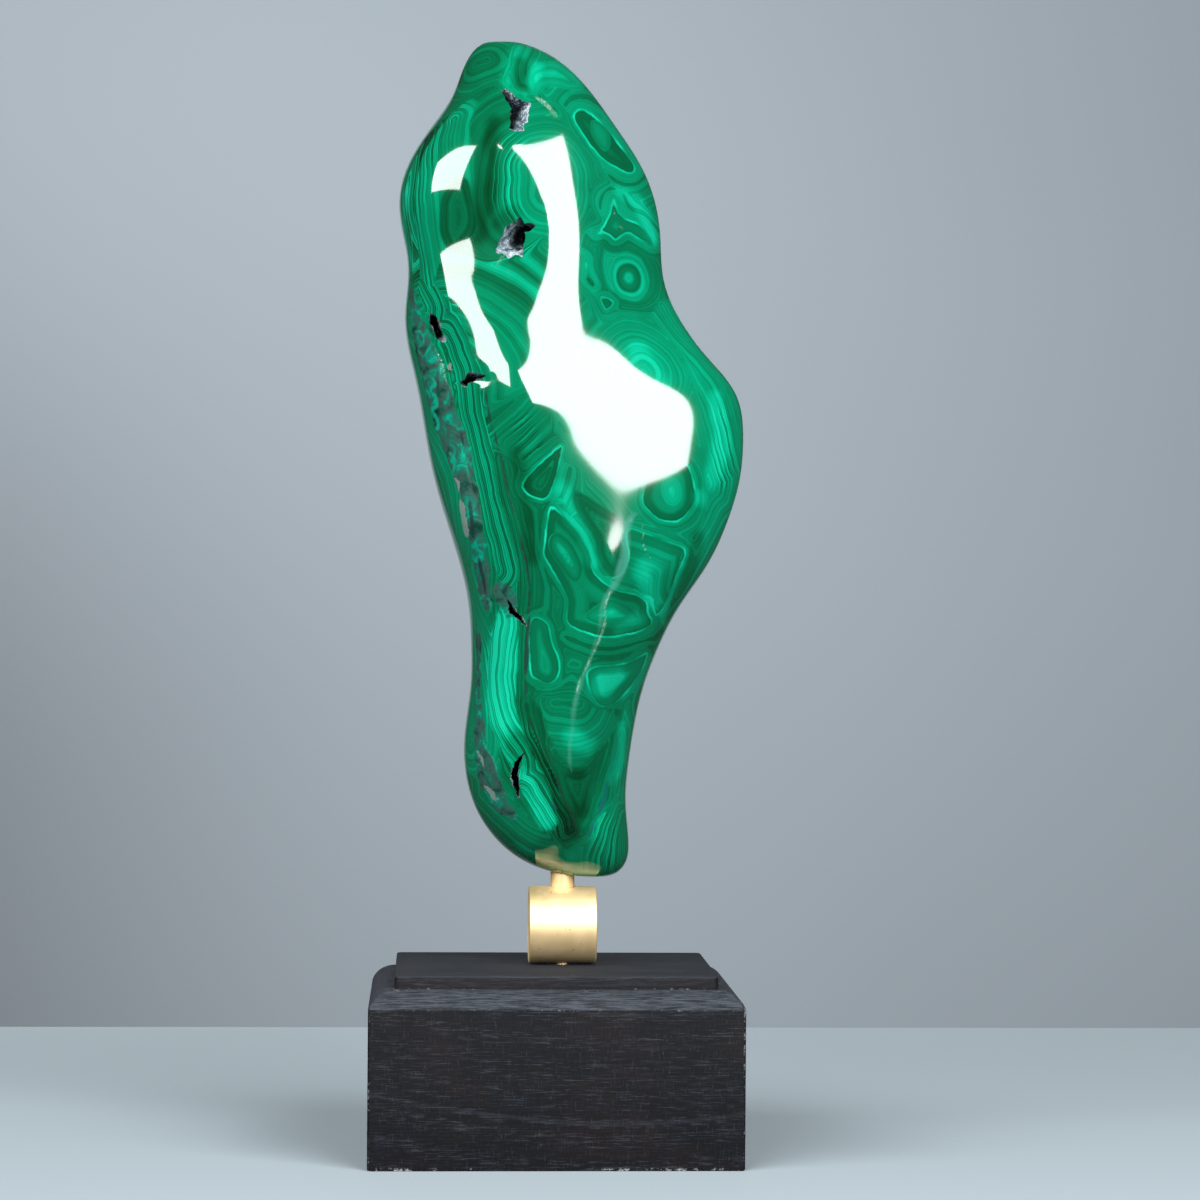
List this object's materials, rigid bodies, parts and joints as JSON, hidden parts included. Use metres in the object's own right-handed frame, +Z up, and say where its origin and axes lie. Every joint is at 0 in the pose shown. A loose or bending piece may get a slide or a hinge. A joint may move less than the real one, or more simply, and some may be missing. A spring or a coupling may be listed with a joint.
{
  "type": "malachite freeform on a display base",
  "caption": "Tall polished malachite freeform with banded greens, held upright by a brass pin in a horizontal brass barrel on a dark wooden base with a moulded top edge.",
  "frame": {"origin": "centre of the base's underside", "axes": "+Z up, +X to the viewer's right, and the display face of the stone looks towards -Y"},
  "size_m": [0.1219, 0.093, 0.365],
  "materials": {
    "malachite": "mirror-polished malachite with light and dark green bands, eyes and chevrons, a rough grey-green matrix strip down the left, and silvery druzy cavities",
    "brass": "satin, pale gold, turned and fine-sanded",
    "dark_wood": "ebonised open-grain hardwood, satin, a little dusty and worn on the moulding"
  },
  "bodies": {
    "root": {"malachite_stone": "malachite", "brass_pin": "brass", "brass_barrel": "brass", "brass_stud": "brass", "wooden_base": "dark_wood"}
  },
  "joints": []
}
